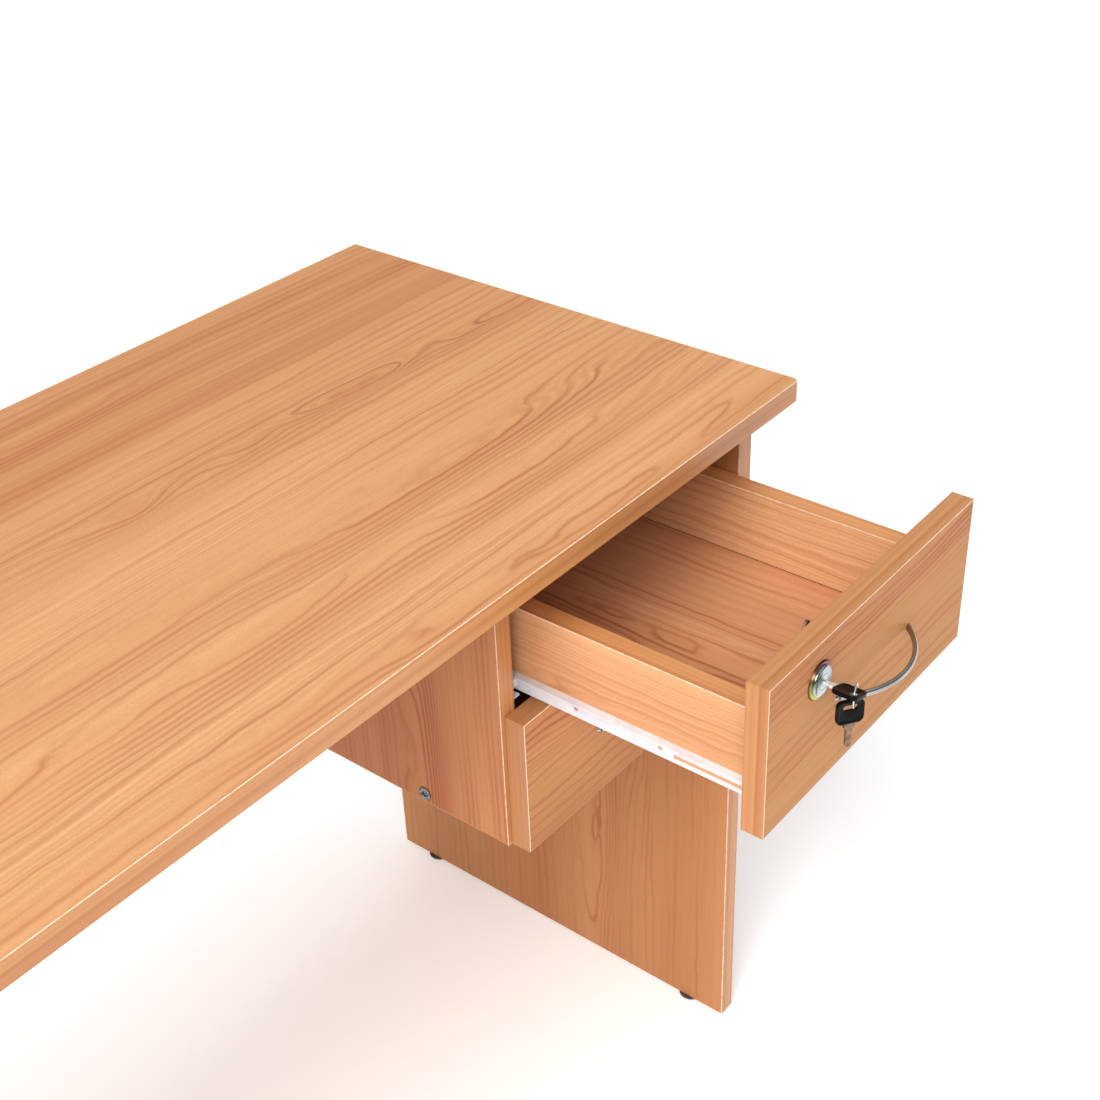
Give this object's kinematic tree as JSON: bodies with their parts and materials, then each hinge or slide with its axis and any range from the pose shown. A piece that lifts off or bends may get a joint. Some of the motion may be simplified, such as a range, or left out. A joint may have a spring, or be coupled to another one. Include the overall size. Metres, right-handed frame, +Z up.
{
  "type": "study table",
  "caption": "Laminated-board study table with panel legs, a modesty panel and a hung pedestal of two drawers on roller runners; the top drawer has a cam lock with keys.",
  "frame": {"origin": "on the floor, under the middle of the whole object's box as pictured, with the top drawer open", "axes": "+X along the desktop, towards the drawers' end; the drawers open towards -Y; +Z up"},
  "size_m": [1.2, 0.7068, 0.75],
  "materials": {
    "laminated_board": "satin printed wood laminate on particle board",
    "edge_banding": "satin printed PVC band",
    "zinc_cams": "die-cast zinc",
    "zinc_bolts": "zinc-plated steel",
    "dowel_wood": "plain turned beech",
    "runner_paint": "white powder coat on pressed steel",
    "nylon": "moulded nylon",
    "screw_steel": "zinc-plated steel",
    "chrome": "polished chrome plate",
    "tinted_chrome": "bright plate with an iridescent tint",
    "plug_metal": "die-cast, dark plated",
    "loop_wire": "bright steel wire",
    "key_steel": "nickel-plated, stamped",
    "key_plastic": "black moulded plastic",
    "glide_plastic": "black moulded plastic"
  },
  "bodies": {
    "table": {"desktop": "laminated_board", "desktop_edge_band": "edge_banding", "right_leg_panel": "laminated_board", "leg_and_modesty_edge_bands": "edge_banding", "floor_glides": "glide_plastic", "left_leg_panel": "laminated_board", "modesty_panel": "laminated_board", "pedestal_side_panel": "laminated_board", "pedestal_bottom_panel": "laminated_board", "pedestal_edge_bands": "edge_banding", "pedestal_front_rail": "laminated_board", "cam_fittings": "zinc_cams", "connecting_bolts": "zinc_bolts", "rail_dowels": "dowel_wood", "pedestal_screws": "screw_steel", "cabinet_runner_screws": "screw_steel", "cabinet_runners": "runner_paint"},
    "top_drawer": {"top_drawer_front": "laminated_board", "top_drawer_front_edge_band": "edge_banding", "top_drawer_left_side": "laminated_board", "top_drawer_box_edge_bands": "edge_banding", "top_drawer_right_side": "laminated_board", "top_drawer_back": "laminated_board", "top_drawer_base": "laminated_board", "top_drawer_cam_fittings": "zinc_cams", "top_drawer_cam_bolts": "zinc_bolts", "top_drawer_dowels": "dowel_wood", "top_drawer_handle_screws": "screw_steel", "top_drawer_handle": "chrome", "top_drawer_runner_screws": "screw_steel", "top_drawer_runners": "runner_paint", "lock_rose": "tinted_chrome", "lock_case": "chrome", "lock_nut": "zinc_bolts"},
    "bottom_drawer": {"bottom_drawer_front": "laminated_board", "bottom_drawer_front_edge_band": "edge_banding", "bottom_drawer_left_side": "laminated_board", "bottom_drawer_box_edge_bands": "edge_banding", "bottom_drawer_right_side": "laminated_board", "bottom_drawer_back": "laminated_board", "bottom_drawer_base": "laminated_board", "bottom_drawer_cam_fittings": "zinc_cams", "bottom_drawer_cam_bolts": "zinc_bolts", "bottom_drawer_dowels": "dowel_wood", "bottom_drawer_handle_screws": "screw_steel", "bottom_drawer_handle": "chrome", "bottom_drawer_runner_screws": "screw_steel", "bottom_drawer_runners": "runner_paint"},
    "top_drawer_rollers": {"top_drawer_rollers": "nylon"},
    "top_drawer_cabinet_rollers": {"top_drawer_cabinet_rollers": "nylon"},
    "bottom_drawer_rollers": {"bottom_drawer_rollers": "nylon"},
    "bottom_drawer_cabinet_rollers": {"bottom_drawer_cabinet_rollers": "nylon"},
    "lock_plug": {"lock_plug": "plug_metal", "lock_cam": "zinc_bolts", "lock_cam_screw": "screw_steel"},
    "key": {"key_blade": "key_steel", "key_head": "key_plastic"},
    "key_loop": {"key_loop": "loop_wire"},
    "spare_key": {"spare_key_blade": "key_steel", "spare_key_head": "key_plastic"}
  },
  "joints": [
    {"name": "top_drawer_slide", "type": "slide", "parent": "table", "child": "top_drawer", "axis": [0, -1, 0], "range_m": [-0.21, 0.09]},
    {"name": "bottom_drawer_slide", "type": "slide", "parent": "table", "child": "bottom_drawer", "axis": [0, -1, 0], "range_m": [0, 0.3]},
    {"name": "top_drawer_cabinet_rollers_spin", "type": "hinge", "parent": "table", "child": "top_drawer_cabinet_rollers", "pos_m": [0.5685, -0.08142, 0.6026], "axis": [1, 0, 0], "continuous": true},
    {"name": "top_drawer_rollers_spin", "type": "hinge", "parent": "top_drawer", "child": "top_drawer_rollers", "pos_m": [0.5685, 0.08858, 0.6011], "axis": [1, 0, 0], "continuous": true},
    {"name": "bottom_drawer_cabinet_rollers_spin", "type": "hinge", "parent": "table", "child": "bottom_drawer_cabinet_rollers", "pos_m": [0.5685, -0.08142, 0.4889], "axis": [1, 0, 0], "continuous": true},
    {"name": "bottom_drawer_rollers_spin", "type": "hinge", "parent": "bottom_drawer", "child": "bottom_drawer_rollers", "pos_m": [0.5685, 0.29858, 0.4874], "axis": [1, 0, 0], "continuous": true},
    {"name": "lock_turn", "type": "hinge", "parent": "top_drawer", "child": "lock_plug", "pos_m": [0.3425, -0.32042, 0.6835], "axis": [0, -1, 0], "range_deg": [-55, 35]},
    {"name": "key_withdraw", "type": "slide", "parent": "lock_plug", "child": "key", "axis": [0, -1, 0], "range_m": [0, 0.014]},
    {"name": "key_loop_swing", "type": "hinge", "parent": "key", "child": "key_loop", "pos_m": [0.34999, -0.34435, 0.6807], "axis": [0.9336, 0.3584, 0], "range_deg": [-10, 10]},
    {"name": "spare_key_swing", "type": "hinge", "parent": "key_loop", "child": "spare_key", "pos_m": [0.34999, -0.34435, 0.6675], "axis": [0.9336, 0.3584, 0], "range_deg": [-15, 15]}
  ],
  "couplings": [
    {"joint": "top_drawer_cabinet_rollers_spin", "follows": "top_drawer_slide", "rad_per_m": 153.85},
    {"joint": "top_drawer_rollers_spin", "follows": "top_drawer_slide", "rad_per_m": 129.87},
    {"joint": "bottom_drawer_cabinet_rollers_spin", "follows": "bottom_drawer_slide", "rad_per_m": 153.85},
    {"joint": "bottom_drawer_rollers_spin", "follows": "bottom_drawer_slide", "rad_per_m": 129.87}
  ]
}
